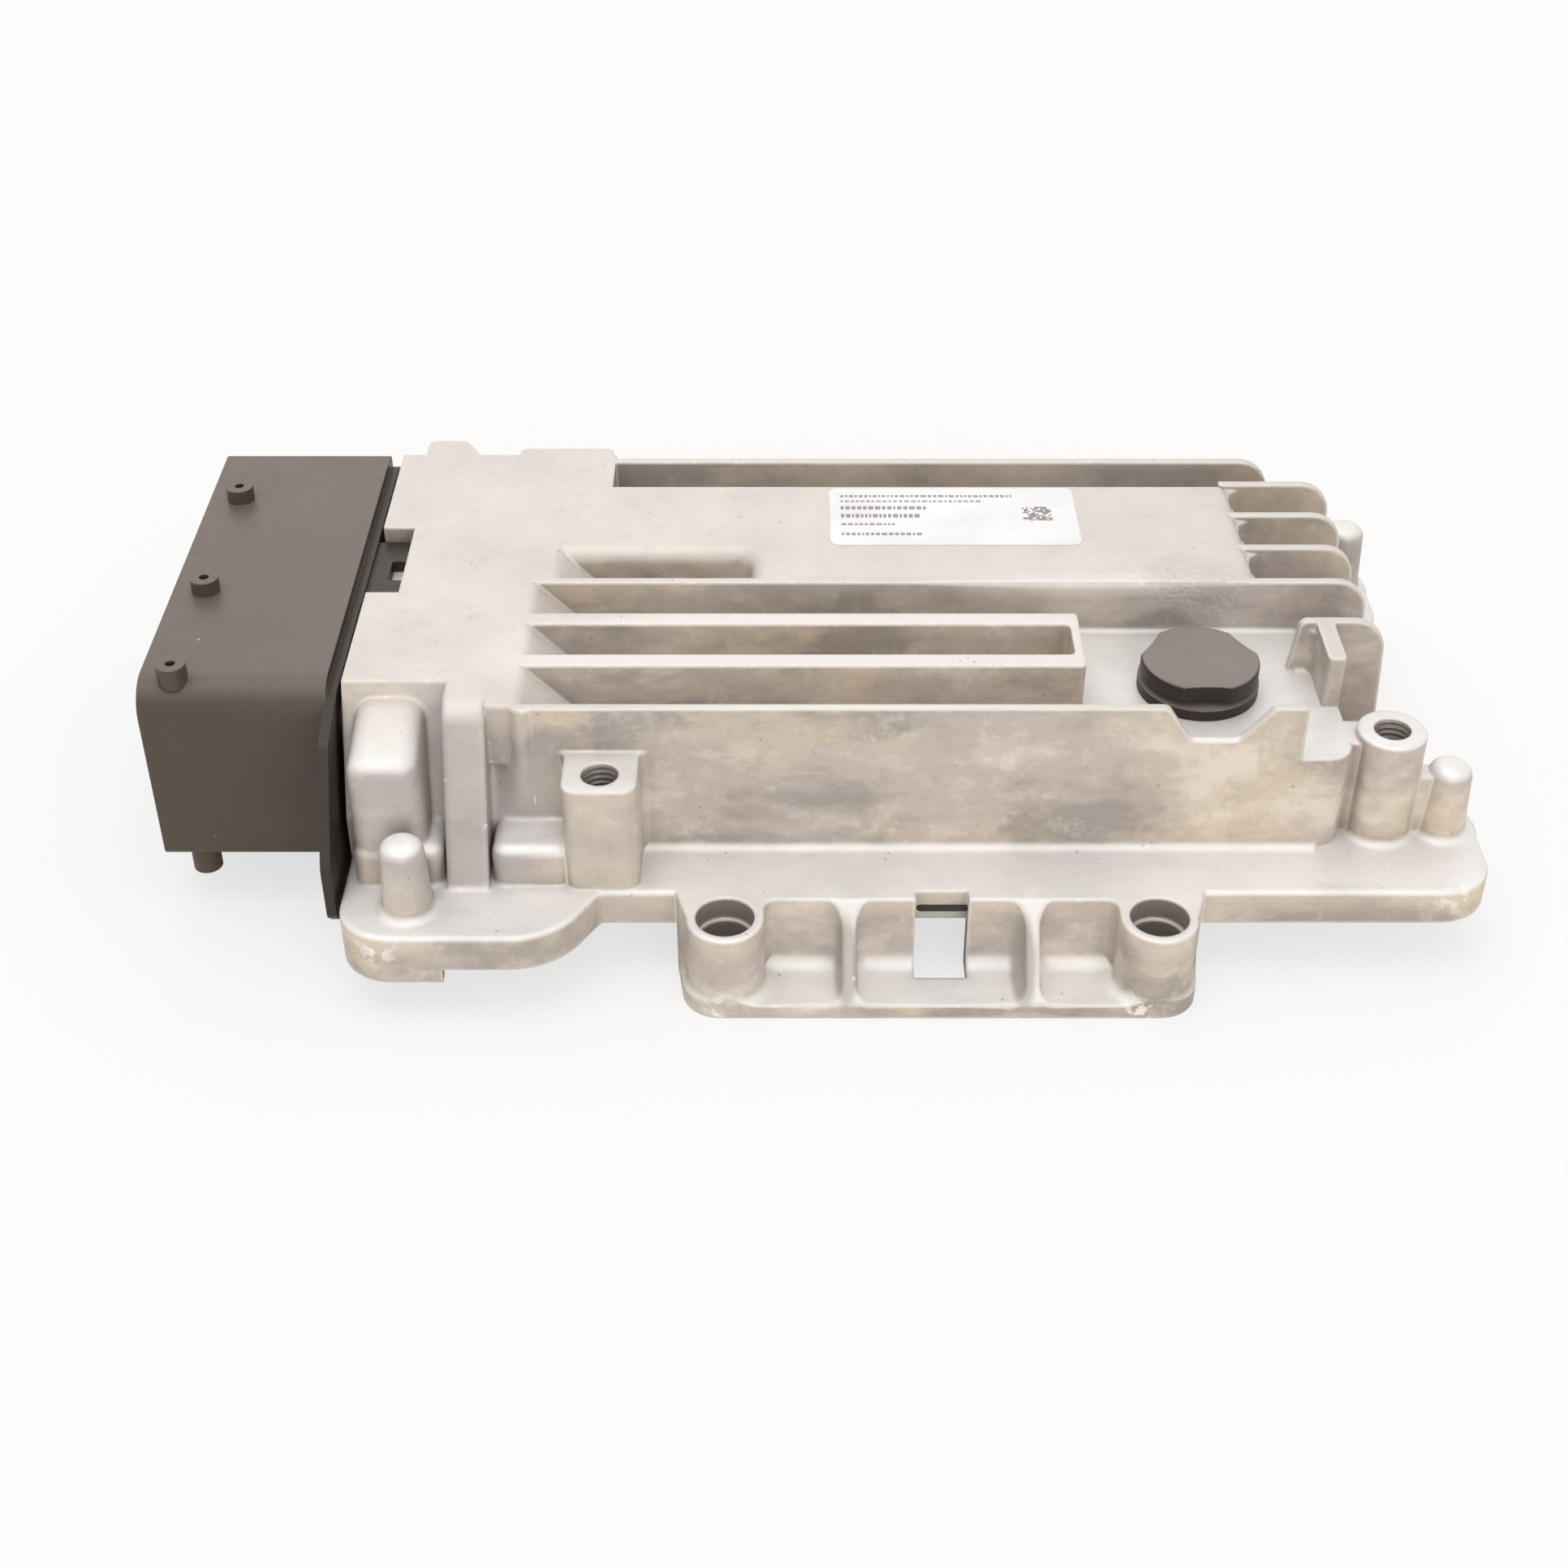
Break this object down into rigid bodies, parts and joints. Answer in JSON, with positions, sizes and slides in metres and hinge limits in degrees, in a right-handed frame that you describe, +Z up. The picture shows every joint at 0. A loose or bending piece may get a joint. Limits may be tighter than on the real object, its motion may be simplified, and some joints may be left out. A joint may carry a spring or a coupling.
{
  "type": "reductant dosing control module",
  "caption": "Engine control module in a finned die-cast housing with a bored side bracket, a plastic connector header at one end, a pressure vent and a flat base cover.",
  "frame": {"origin": "midway between the two bracket bores, on the underside of the bracket, in the plane of the base cover's underside", "axes": "+Z up through the finned top, +X along the length away from the connector header, +Y from the bracket to the back"},
  "size_m": [0.2128, 0.1115, 0.0452],
  "materials": {
    "cast_aluminium": "bare die-cast surface, satin, light grey with a warm tint",
    "cover_metal": "pressed sheet, satin",
    "seal_rubber": "matt black",
    "screw_steel": "zinc plated, satin",
    "header_plastic": "moulded, dark brownish black, fine satin grain",
    "vent_plastic": "moulded, dark grey, matt",
    "pin_metal": "tin plated copper alloy",
    "board_laminate": "green solder mask over glass laminate",
    "chip_plastic": "moulded black package",
    "can_metal": "drawn can, bright",
    "choke_core": "pressed powder core, dark grey",
    "crystal_metal": "plated can",
    "ceramic": "fired ceramic, tan",
    "resistor_glaze": "glazed black",
    "pad_rubber": "soft gap pad, blue grey",
    "membrane": "breathable film, white",
    "label_film": "white film, satin"
  },
  "bodies": {
    "root": {"housing": "cast_aluminium", "base_cover": "cover_metal", "cover_gasket": "seal_rubber", "cover_screws": "screw_steel", "signal_pins": "pin_metal", "power_pins": "pin_metal", "connector_header": "header_plastic", "header_seal": "seal_rubber", "circuit_board": "board_laminate", "board_screws": "screw_steel", "microcontroller": "chip_plastic", "pump_driver": "chip_plastic", "supply_regulator": "chip_plastic", "bus_transceivers": "chip_plastic", "memory_chip": "chip_plastic", "output_transistors": "chip_plastic", "thermal_pads": "pad_rubber", "buffer_capacitors": "can_metal", "supply_choke": "choke_core", "clock_crystal": "crystal_metal", "suppressor_diodes": "chip_plastic", "ceramic_capacitors": "ceramic", "chip_resistors": "resistor_glaze", "vent_body": "vent_plastic", "vent_seal": "seal_rubber", "vent_membrane": "membrane", "vent_cap": "vent_plastic", "label": "label_film"}
  },
  "joints": []
}
